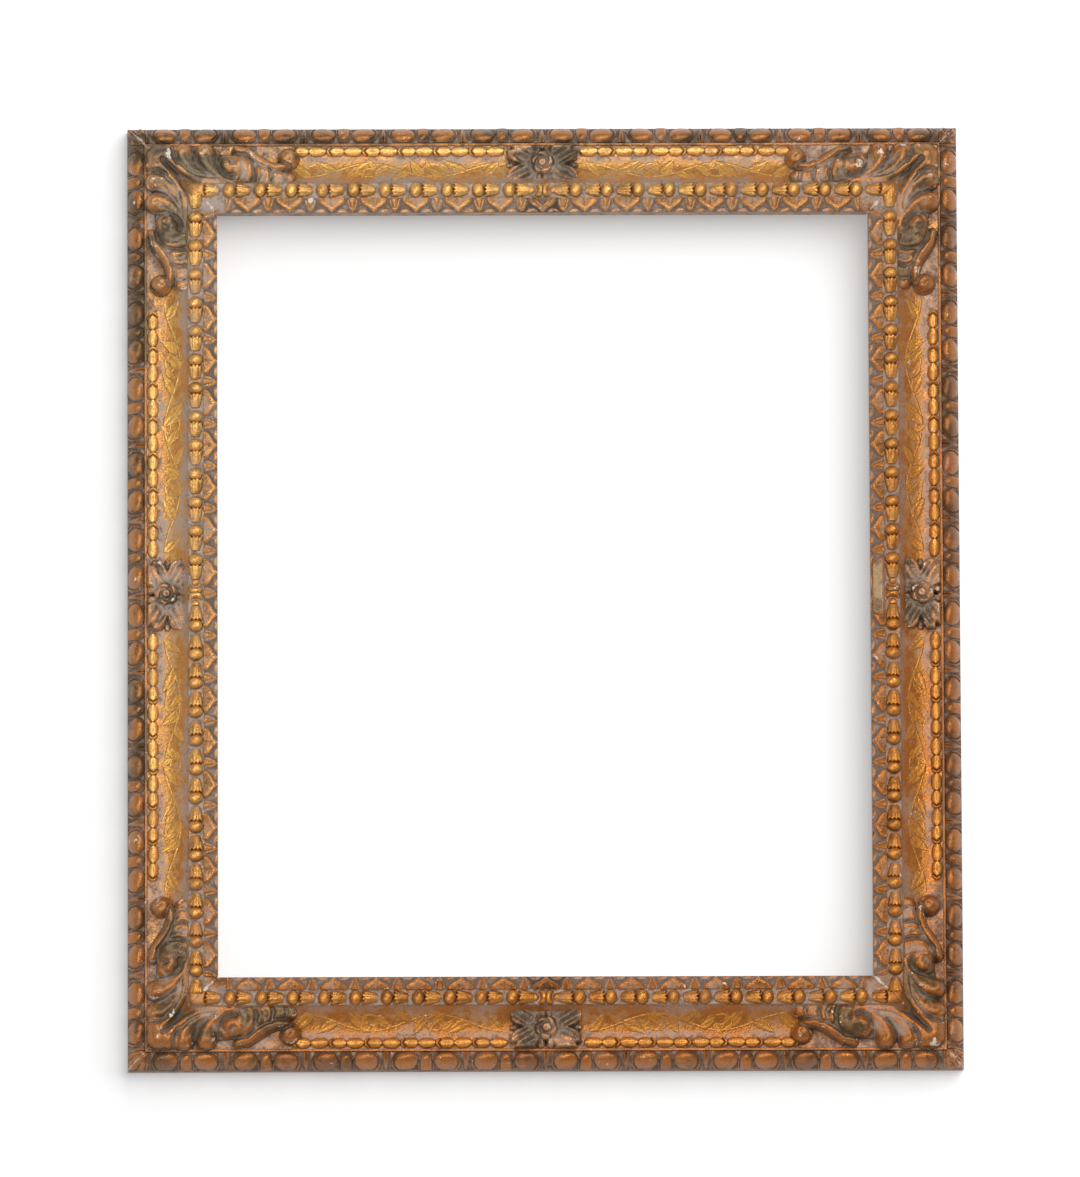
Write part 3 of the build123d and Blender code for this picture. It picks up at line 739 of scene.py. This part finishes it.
def bead(half_length, half_width):
    """A turned bead, a little more than half of an oval ball."""
    rings, steps = 7, 20
    levels = [(cos(pi / 2 * k / rings) ** 0.85, bead_rise * sin(pi / 2 * k / rings)) for k in range(rings)]
    levels = [(1.0, -1.0), *levels]
    points = [(r * half_length * cos(2 * pi * j / steps), r * half_width * sin(2 * pi * j / steps), h)
              for r, h in levels for j in range(steps)]
    points.append((0, 0, bead_rise))
    last = (len(levels) - 1) * steps
    faces = ring_faces(len(levels), steps)
    faces += [(last + j, last + (j + 1) % steps, last + steps) for j in range(steps)]
    mesh = new_mesh("bead", points, [*faces, range(steps)[::-1]])
    # Crest grows with height, so the bead's top is painted bright, as rubbed gold and painted highlight, and
    # its foot dark, as dirt and painted shade.
    add_values(mesh, "crest", [0.2 + 0.66 * max(p[2], 0) / bead_rise for p in points])
    softened(mesh, 60)
    return mesh


def bead_husk(length):
    """The husk that a bead comes out of: a plump body with small petals round the bead, tapering away."""
    along, out = grid(-length / 2, length / 2, -7.0, 7.0, 0.5)
    behind = length / 2 - along
    taper = behind / length
    side_way = np.abs(out) / (6.6 * (1 - 0.4 * taper ** 2))
    petals = 2.0 * np.interp(np.abs(out), [0, 1.8, 3.6, 5.4, 7.0], [0.8, 0, 1, 0.1, 0.8])
    husk = 6.4 * (1 - 0.55 * taper ** 1.6) * np.maximum(1 - side_way ** 2, 0) ** 0.5
    folds = 0.8 * ridge(np.abs(np.abs(out) - 1.8) - 1.8 * (1 - 0.5 * taper), 0.45) * (1 - taper)
    husk = husk * unit(behind - petals) ** 0.5 - folds
    kept = (side_way < 1) & (behind > petals - 0.3)
    return carved("bead_husk", along, out, np.where(kept, husk, -0.5), depth=2.4, lift=0.3)


def crescent():
    """One of the two half husks that stand back to back in the middle of a rail."""
    along, out = grid(-5.4, 5.4, -6.8, 6.8, 0.72)
    outer = np.hypot((along + 2.2) / 6.4, out / 6.5)
    inner = np.hypot((along - 4.6) / 5.6, out / 5.4)
    horn = 5.6 * dome(outer) * unit((inner - 1) * 2.6) ** 0.5
    height = np.where(inner > 1, horn, 2.6 * dome(inner / 0.7))
    return carved("crescent", along, out, np.maximum(height, -0.5))


def leaf_course(pitch):
    """One repeat of the leaf band: a leaf pointing to the sight edge, and half a small shield at each end."""
    along, out = grid(-pitch / 2, pitch / 2, 0.25, 12.6, 0.62)
    side_way = np.abs(along)
    leaf_half = np.interp(out, [0.4, 2.2, 4.4, 6.0, 8.6, 10.4, 11.6, 12.6],
                          [0.3, 2.6, 5.0, 8.4, 11.8, 13.0, 13.0, 12.2])
    inside = (leaf_half - side_way) * 0.75
    leaf = 3.5 * unit(inside / 1.5) ** 0.5 - 1.5 * unit((inside - 1.2) / 4.0)
    leaf = leaf - 0.5 * ridge(along, 0.7) * (out > 5)
    from_shield = pitch / 2 - side_way
    shield_half = np.interp(out, [0.8, 3.0, 6.5, 9.5, 12.4], [0.3, 3.0, 5.0, 5.4, 4.2])
    shield = 2.9 * dome(from_shield / shield_half) - 1.1 * ridge(from_shield - 0.3 * out, 0.7) * (out > 3.5)
    scallop = 1.8 * dome(np.hypot((from_shield - 9.6) / 5.2, out / 3.4))
    height = np.maximum.reduce([leaf, shield, scallop, 0.2 + 0 * along])
    return carved("leaf_course", along, out, height, spread=10, depth=2.6, lift=0.75)


def corner_block(side, way):
    """The plain pad that ends the bead row at a mitre."""
    share, out = grid(0, 1, bead_out - pad_half, bead_out + pad_half, 0.08)
    begin = half_rail(side) + pad_from
    along = begin + (half_rail(side) + out - mitre_crack - begin) * share
    height = 3.6 * np.minimum(dome(np.abs(out - bead_out) / 6.5), np.sqrt(unit(share * 4)))
    mesh = carved("corner_block", along * way, out, np.maximum(height, 0.05))
    if way < 0:
        mesh.flip_normals()
    mesh.materials.append(bead_gilding)
    return mesh


for number, side in enumerate(SIDES):
    rail = moulding_run(side, sight_section, sight_crest, sight_gilding)
    shown("sight_rail_" + side, rail, "gilt_wood", "sight_moulding_" + side)
    level_side = side in LEVEL_SIDES
    pitch = 38.9 if level_side else 39.4
    first, count = (0.0, 8) if level_side else (pitch / 2, 9)
    leaves = row_of(leaf_course(pitch), count, first, pitch, 0.0, 20 + number, sight_gilding)
    if side == "right":
        points = read_points(leaves)
        along, out, up = points.T
        under_plate = (np.abs(along + plate_up) < plate_clear) & (out > 1) & (out < 11.6)
        up[under_plate] = np.minimum(up[under_plate], -0.2)
        write_points(leaves, points)
    pitch, count, bead_half, husk_back = (28.7, 10, 7.1, 12.3) if level_side else (26.6, 13, 6.9, 11.0)
    beads = row_of(bead(6.0, bead_half), count, bead_first, pitch, bead_out, 30 + number, bead_gilding, 0.025)
    husks = row_of(bead_husk(husk_length), count + 1, bead_first - husk_back, pitch, bead_out, 40 + number,
                   bead_gilding, 0.03, 0.03)
    halves = row_of(crescent(), 1, 5.8, 1.0, bead_out, 50 + number, bead_gilding)
    rows = {"leaf_band_": leaves, "bead_row_": beads, "husk_row_": husks, "half_husks_": halves}
    for name, mesh in rows.items():
        carving(name + side, mesh, side, "sight_moulding_")
    for way, end in ((1, "end"), (-1, "start")):
        carving(f"corner_block_{side}_{end}", corner_block(side, way), side, "sight_moulding_")

# Corner ornaments
# A leaf scroll over each corner: a cap on the mitre and an arm along each rail that ends in a curl.
# Cast or carved apart and glued into the hollow, its gilding gone brown and grey, chipped to the gesso.
ornament_gilding = gilding("bronzed_leaf", (190, 138, 88), (126, 108, 86), (84, 72, 57), 0.95, 0.1, 0.8,
                           metal=0.6, patchy=1.3, grain=0.4, tarnish=0.4)
curl_along, curl_out = 10.5, 45
# Each form of the leaf is a line of points, as in the band's leaves; the lobes lean over one another.
corner_lobes = [
    [(-31, 57.5, 9.5, 44.0), (-29.5, 52, 10.0, 43.8), (-24, 45, 9.4, 43.2),
     (-15, 38.5, 7.0, 42.4), (-4, 34, 5.0, 41.8), (6, 31.5, 3.6, 41.5)],
    [(-11, 57.0, 10.0, 45.4), (-9.5, 51, 10.8, 45.2), (-5, 44, 9.8, 44.8),
     (2, 37.5, 7.4, 44.0), (9, 33, 5.0, 43.2), (16, 30.5, 3.6, 42.5)],
]
corner_masses = [
    [(-44, 46, 14, 36.0), (-20, 44, 15, 38.0), (5, 42, 15, 39.0), (30, 41, 13, 39.0), (52, 40, 8, 38.0)],
    [(-53.5, 53.5, 13.0, 45.0), (-46, 55.5, 11.0, 43.5), (-41, 56, 9.5, 42.0)],
    [(-47, 53, 8.5, 44.0), (-38, 45.5, 6.8, 43.4), (-28, 38, 5.2, 43.0),
     (-19, 33, 4.4, 43.2), (-8, 30.5, 4.4, 43.6), (6, 30.5, 4.0, 43.6)],
    [(8, 46.5, 10.0, 47.5), (13, 44.5, 12.0, 48.0)],
    [(21, 43.5, 15.0, 47.5), (28, 42.0, 14.0, 46.8)],
    [(38, 38.5, 10.8, 45.6), (45, 37.0, 9.8, 45.0)],
    [(51, 35.0, 8.2, 44.0), (58, 33.8, 7.4, 43.4), (66, 33.0, 6.6, 42.5)],
    [(18, 60, 4.5, 42.5), (27, 57.5, 5.4, 43.4), (35, 52, 6.0, 44.0),
     (44, 46, 5.8, 44.2), (54, 42.6, 5.4, 44.0), (62, 44, 5.4, 44.0)],
    [(65.5, 52.5, 9.6, 45.0), (66.5, 51.5, 9.6, 45.0)],
]
# Cuts are lines of points too, with a half width and a depth.
corner_cuts = [
    [(-50, 50, 2.0, 3.5), (-42, 42, 2.6, 5.0), (-28, 28, 3.0, 4.0)],
    [(curl_along + r * cos(a), curl_out + r * sin(a), w, 3.6)
     for a, r, w in np.linspace((-1.1, 11.5, 2.0), (-5.6, 4.0, 2.8), 16)],
    [(-31, 61, 3.0, 0.6), (-28.5, 54, 3.8, 1.8), (-22, 46, 3.8, 1.8), (-12, 39, 2.8, 1.0)],
    [(-11, 61, 3.0, 0.6), (-8.5, 53, 4.2, 2.0), (-3.5, 45, 4.2, 2.0), (4, 38, 3.0, 1.2)],
    [(33, 26, 1.5, 3.0), (35.4, 36, 1.7, 3.4), (33, 47, 1.7, 3.0), (26, 56, 1.5, 1.6)],
    [(48.5, 25.4, 1.4, 2.6), (50.8, 33, 1.6, 3.0), (48, 42, 1.5, 2.0)],
    [(61.5, 26, 1.3, 1.6), (63, 32, 1.5, 2.0), (61.5, 39, 1.4, 1.4)],
    [(20, 30, 3.0, 0.8), (25, 38, 4.0, 1.8), (23, 50, 3.5, 1.0)],
    [(40, 29, 2.4, 0.8), (43, 35, 3.0, 1.6), (41, 43, 2.4, 0.8)],
    [(57, 48, 1.4, 2.6), (61, 46.5, 1.6, 3.0), (67, 44.5, 1.5, 2.0)],
    [(62, 55, 2.4, 1.6), (65.5, 51, 2.6, 2.4)],
    [(-41.5, 65, 1.4, 3.0), (-40.5, 56, 1.6, 3.6), (-37, 47, 1.6, 2.8)],
]
for corner in CORNERS:
    leaf = over_mitre("corner_leaf", corner, (-66.5, 79), 0.78, (hollow_from + 0.2, fillet_from - 0.2),
                      [(corner_lobes, 1.8), (corner_masses, 0.0)], corner_cuts, 24, 3.4, ornament_gilding)
    shown("corner_leaf_" + corner, leaf, "bronzed_gilding", "corner_ornament_" + corner)

# Centre flowers
# A four petalled flower in the middle of each rail, its petals split at their ends, round a rosette.
# Made and finished as the corner ornaments are, and glued across the hollow and the seed row.
flower_gilding = gilding("bronzed_flower", (204, 154, 112), (116, 98, 82), (50, 38, 30), 0.75, 0.1, 1.1,
                         metal=0.6, patchy=1.3, grain=0.4, tarnish=0.4, side_shade=0.3)
flower_middle, flower_bed, knob_radius = 46, 27, 4.4
small_leaves = [[(4.3, 8, 4.4, 38.5), (4.4, 14.6, 4.2, 37.5)], [(26, 1, 3.0, 33.5), (31.5, 0.5, 2.0, 32.0)]]
leaf_veins = [[(4.4, 9, 0.9, 1.0), (4.6, 18, 0.9, 1.6)]]


def petals(along, out, bed):
    """A quarter of the flower: a broad leaf split at its end, hollow beside its midrib, with a thick rim."""
    reach, aside = along * 0.87 + out * 0.49, out * 0.87 - along * 0.49
    half = np.interp(reach, [4, 10, 17, 25, 31, 36], [4.5, 8.0, 11.5, 12.2, 10.5, 3.5])
    to_end = 36.5 - 5.0 * ridge(aside + 1, 2.6) - reach
    inside = np.minimum.reduce([half - np.abs(aside), to_end, 34.6 - along, 18.8 - out])
    rim = np.sqrt(np.maximum(1 - (1 - unit(inside / 3.2)) ** 2, 0))
    rise = np.interp(reach, [4, 13, 25, 36], [40.0, 38.5, 41.5, 38.5])
    hollows = 2.4 * ridge(np.abs(aside) - 5.2, 3.2) * unit((reach - 9) / 8) * unit(inside / 3.0)
    return np.where(inside > 0, bed + (rise - bed) * rim - hollows, bed - 1.0)


def rosette(along, out, bed):
    """The middle of the flower: five petals that overlap like a pinwheel, round a knob with a dimple."""
    radius, angle = np.hypot(along, out), np.arctan2(out, along)
    petal = (angle * 5 / (2 * pi) + 0.04 * radius) % 1
    edge_at = 9.6 + 2.4 * np.sin(pi * petal) ** 0.6
    cup = bed + (40.4 - bed) * unit((edge_at - radius) / 1.8) ** 0.5
    cup = cup + 3.6 * ridge(radius - 6.4 - 2.8 * petal, 1.9) * (0.4 + 0.6 * petal)
    knob = 40.5 + 4.6 * dome(radius / knob_radius) - 1.8 * ridge(radius, 1.4)
    return np.where(radius < edge_at, np.maximum(cup, np.where(radius < knob_radius, knob, 0)), bed - 1.0)


def centre_flower(side):
    along, out = grid(-flower_half, flower_half, -19.5, 19.0, 0.7)
    base = ground(np.clip(out + flower_middle, hollow_from, fillet_from - 0.2))
    bed = np.maximum(base, flower_bed)
    quarter = np.abs(along), np.abs(out)
    height = np.maximum.reduce([fingers(*quarter, small_leaves, bed, leaf_veins), petals(*quarter, bed),
                                rosette(along, out - 1.0, bed)])
    mesh = carved("centre_flower", along, out, height, height > bed - 0.4, base - 1.6, 30, 5.0)
    along, out, up = read_points(mesh).T
    write_points(mesh, in_place(side, along, out + flower_middle, up))
    mesh.materials.append(flower_gilding)
    return mesh


for side in SIDES:
    shown("flower_" + side, centre_flower(side), "bronzed_gilding", "centre_flower_" + side)

# Title plate
# A thin bare plate of dull brass on the slope of the right leaf band, held by a pin at each end.
# It is cut from sheet, its corners are cut off, and its edges are worn round.
plate_length, plate_width, plate_thick, plate_corner = 49.0, 8.6, 0.8, 2.6
pin_radius, pin_inset, pin_sides = 0.95, 3, 12


def dull_metal(name, bright, tarnish, dark, rough):
    """Old hardware metal: tarnished in clouds, darker in spots, with fine scratches."""
    material, shader, place = surface(name)
    clouds, spots = cloud(place, 90.0, 4.0, 0.6), cloud(place, 900.0, 3.0, 0.6)
    drawn = place.node("ShaderNodeMapping", {}, {"Vector": place, "Scale": (300.0, 300.0, 3000.0)})
    scratches = cloud(drawn, 1.0, 2.0, 0.5)
    colour = laid(bright, tarnish, clouds.between(0.25, 0.8))
    colour = laid(colour, dark, (spots * 0.6 + clouds * 0.5).between(0.55, 0.95) * 0.7)
    feed(shader, Base_Color=colour, Metallic=0.95 - spots * 0.25,
         Roughness=rough + clouds * 0.2 + (scratches - 0.5) * 0.12)
    uneven(shader, scratches * 0.3 + spots * 0.7, 0.00012, 0.5)
    return material


def cut_corners(length, width, corner):
    """Outline of a plate with its corners cut off."""
    a, b = length / 2, width / 2
    return [(x * (a - cx), y * (b - cy)) for x, y, cx, cy in (
        (1, -1, corner, 0), (1, -1, 0, corner), (1, 1, 0, corner), (1, 1, corner, 0),
        (-1, 1, corner, 0), (-1, 1, 0, corner), (-1, -1, 0, corner), (-1, -1, corner, 0))]


def title_plate():
    """The plate with its worn edge, and its pins, lying flat with its length along the first axis."""
    outline = cut_corners(plate_length, plate_width, plate_corner)
    inner = cut_corners(plate_length - 0.7, plate_width - 0.7, plate_corner - 0.1)
    edges = [(outline, -0.05), (outline, plate_thick - 0.3), (inner, plate_thick)]
    points = [(x, y, h) for ring, h in edges for x, y in ring]
    faces = [range(8)[::-1], range(16, 24), *ring_faces(len(edges), 8)]
    levels = [(pin_radius, -0.2), (pin_radius, 0.25), (pin_radius * 0.6, 0.55)]
    angles = [2 * pi * j / pin_sides for j in range(pin_sides)]
    for middle in (pin_inset - plate_length / 2, plate_length / 2 - pin_inset):
        first = len(points)
        points += [(middle + r * cos(a), r * sin(a), plate_thick + h) for r, h in levels for a in angles]
        faces += [range(first, first + pin_sides)[::-1], range(len(points) - pin_sides, len(points)),
                  *ring_faces(len(levels), pin_sides, first)]
    mesh = new_mesh("title_plate", points, faces)
    softened(mesh, 35)
    return mesh


plate = title_plate()
lean = Vector((leaf_end, leaf_rise, 0)).normalized()
plate_axes = np.array([(0, 0, 1), (lean.x, -lean.y, 0), (-lean.y, -lean.x, 0)])
plate_place = np.array([half_width + leaf_end / 2, -sight_level - leaf_rise / 2, middle_height + plate_up])
write_points(plate, (read_points(plate) @ plate_axes + plate_place) / 1000)
plate.materials.append(dull_metal("dull_brass_plate", (196, 166, 128), (166, 136, 106), (104, 84, 66), 0.5))
shown("bare_plate", plate, "brass_plate", "title_plate")

# Hangers
# Two strap hangers on the stiles: a strip of brassed steel rolled round the leg of a bent wire ring.
# The ring swings on its leg; one screw holds each strap.
hanger_metal = dull_metal("brassed_steel_worn", (206, 170, 104), (150, 116, 66), (84, 62, 40), 0.34)
ring_wire, ring_half, ring_arm = 2.5, 9.0, 6.0

for side, way in (("left", 1), ("right", -1)):
    finish_node("hanger_strap_" + side, hanger_metal)
    low, high = (corner * 1000 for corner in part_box("hanger_ring_" + side))
    leg = (low.x if way > 0 else high.x) + way * ring_wire / 2
    bow = [(ring_arm + ring_half * cos(a), ring_half * sin(a)) for a in np.linspace(-pi / 2, pi / 2, 17)]
    loop = [(0, ring_half), (0, -ring_half), *bow]
    middle = (low + high) / 2
    points = [(leg + way * x, middle.y, middle.z + z) for x, z in loop]
    bent = new_mesh("ring_line", points, edges=[(k, (k + 1) % len(loop)) for k in range(len(loop))])
    ring = grown(line_tree, bent, width=ring_wire, bend=1.6, sides=14, crest=0.5, finish=hanger_metal)
    write_points(ring, read_points(ring) / 1000)
    softened(ring, 60)
    shown("wire_ring_" + side, ring, "brassed_steel", "hanger_ring_" + side, body=side + "_ring")

# Turn buttons
# A flat button of brassed steel on each back member, cut from strip, on a screw near one end.
# Turned inwards, it holds the picture in the rebate.
for side in SIDES:
    finish_node("turn_button_" + side, hanger_metal)

# Screws
# Slotted steel screws with low round heads, gone dull, driven into the back frame.
# One goes through each hanger strap and each turn button.
screw_metal = dull_metal("old_steel", (168, 162, 152), (112, 104, 94), (70, 54, 42), 0.36)
head_radius, head_rise, slot_half, slot_depth = 3.7, 2.0, 0.5, 1.0
pivot_out = 18.5


def screw_head():
    along, out = grid(-head_radius, head_radius, -head_radius, head_radius, 0.185)
    share = np.hypot(along, out) / head_radius
    height = 0.5 + (head_rise - 0.5) * np.sqrt(np.maximum(1 - share ** 2, 0))
    height = height - slot_depth * (np.abs(out) < slot_half)
    return carved("screw_head", along, out, height, share < 1, -0.6)


def set_screws(name, node, spots, seat, turns):
    """Screw heads on the rear face, at places across and up the frame."""
    heads = at_spots(screw_head(), screw_metal, [(-x, z) for x, z in spots], turns, [1.0] * len(spots))
    across, up, rise = read_points(heads).T
    write_points(heads, np.stack([-across, seat + rise, up], 1) / 1000)
    shown(name, heads, "steel", node)


hanger_low, hanger_high = (corner * 1000 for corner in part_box("hanger_screws"))
hanger_level = (hanger_low.z + hanger_high.z) / 2
hanger_reach = hanger_high.x - head_radius
set_screws("hanger_screw_heads", "hanger_screws", [(way * hanger_reach, hanger_level) for way in (1, -1)],
           hanger_high.y - head_rise, [0.4, 1.9])
pivots = [in_place(side, *np.array([[0.0], [pivot_out], [0.0]]))[0] * 1000 for side in SIDES]
set_screws("button_screw_heads", "turn_button_screws", [(spot[0], spot[2]) for spot in pivots],
           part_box("turn_button_screws")[1].y * 1000 - head_rise, [0.2, 2.3, 1.1, 2.9])

# Wall and light
# A plain white wall behind the frame, seen from its front only, and soft studio light from the upper right.
# A weaker lamp stands behind, so that the back of the frame is lit as well.
bpy.context.scene.view_settings.view_transform = "Standard"
wall_half, wall_back = 9, 0.0005


def seen_straight(place):
    """1 for what the camera, a mirror or clear glass shows, 0 for the light that falls on the frame."""
    camera, glossy, through = (place.node("ShaderNodeLightPath", out=f"Is {kind} Ray")
                               for kind in ("Camera", "Glossy", "Transmission"))
    seen = camera + glossy + through
    return seen.maths("MINIMUM", seen, 1.0)


wall_corners = [(x * wall_half, wall_back, z * wall_half) for x, z in ((-1, -1), (1, -1), (1, 1), (-1, 1))]
wall = placed("wall", new_mesh("wall", wall_corners, [range(4)]))
wall_white, shader, place = surface("wall_white")
shader.inputs["Base Color"].default_value = (0.86, 0.86, 0.86, 1)
shader.inputs["Roughness"].default_value = 0.95
shader.inputs["Specular IOR Level"].default_value = 0.0
glow = place.node("ShaderNodeEmission", {}, {"Color": (1, 1, 1, 1), "Strength": 0.27})
lit = place.node("ShaderNodeAddShader", {}, {0: glow, 1: Thread(place.tree, shader.outputs[0])})
clear = place.node("ShaderNodeBsdfTransparent")
from_front = 1 - place.node("ShaderNodeNewGeometry", out="Backfacing")
both = place.node("ShaderNodeMixShader", {}, {0: seen_straight(place) * from_front, 1: clear, 2: lit})
place.tree.links.new(both.socket, place.tree.nodes["Material Output"].inputs["Surface"])
wall.data.materials.append(wall_white)

world = bpy.data.worlds.new("studio")
bpy.context.scene.world = world
world.use_nodes = True
tree = world.node_tree
soft = Thread(tree).node("ShaderNodeBackground", {}, {"Color": (1, 1, 1, 1), "Strength": 0.36})
tree.links.new(soft.socket, tree.nodes["World Output"].inputs["Surface"])

# The lamps that shape the carving leave the wall alone. One broad soft light at the upper right falls on the
# wall only, so that the frame's shadow fades out to the left and below as it does in the photograph.
not_wall, wall_only = bpy.data.collections.new("not_wall"), bpy.data.collections.new("wall_only")
for group in (not_wall, wall_only):
    group.objects.link(wall)
not_wall.collection_objects[0].light_linking.link_state = "EXCLUDE"


def lamp(name, place, target, size, power, falls_on=not_wall):
    light = bpy.data.lights.new(name, "AREA")
    light.size, light.energy = size, power
    holder = placed(name, light)
    holder.location = place
    holder.rotation_euler = (Vector(target) - Vector(place)).to_track_quat("-Z", "Y").to_euler()
    holder.light_linking.receiver_collection = falls_on
    holder.visible_camera = False


centre = (0, 0, middle_height / 1000)
lamp("key", (1.5, -5.4, 1.5), centre, 2.6, 172)
lamp("front", (-2.3, -4.8, -2.0), centre, 2.4, 114)
lamp("behind", (1.2, 3.2, 0.9), centre, 1.5, 55)
lamp("ground", (9.0, -6.0, 8.4), (9.0, 0, 8.4), 18.0, 2900, wall_only)

# Camera
# Far off and a little below the middle, as the photograph was taken, with a long lens.
# The photograph shows a millimetre of the frame as 1.0872 pixels, and is 1177 pixels high.
sensor, pixels_per_mm, pixels_high = 36, 1.0872, 1177
distance, pitch, yaw, roll = 15.0, radians(8.8), radians(0.71), radians(-0.25)
look = Vector((sin(yaw) * cos(pitch), cos(yaw) * cos(pitch), sin(pitch)))
level = look.cross(Vector((0, 0, 1))).normalized()
upward = level.cross(look)
level, upward = level * cos(roll) + upward * sin(roll), upward * cos(roll) - level * sin(roll)
target = Vector((-0.0036, -0.02, middle_height / 1000 + 0.0072))
camera = placed("camera", bpy.data.cameras.new("camera"))
camera.data.lens = sensor * pixels_per_mm * distance * 1000 / pixels_high
camera.data.clip_end = 100
camera_axes = Matrix((level, upward, -look)).transposed().to_4x4()
camera.matrix_world = Matrix.Translation(target - look * distance) @ camera_axes
bpy.context.scene.camera = camera
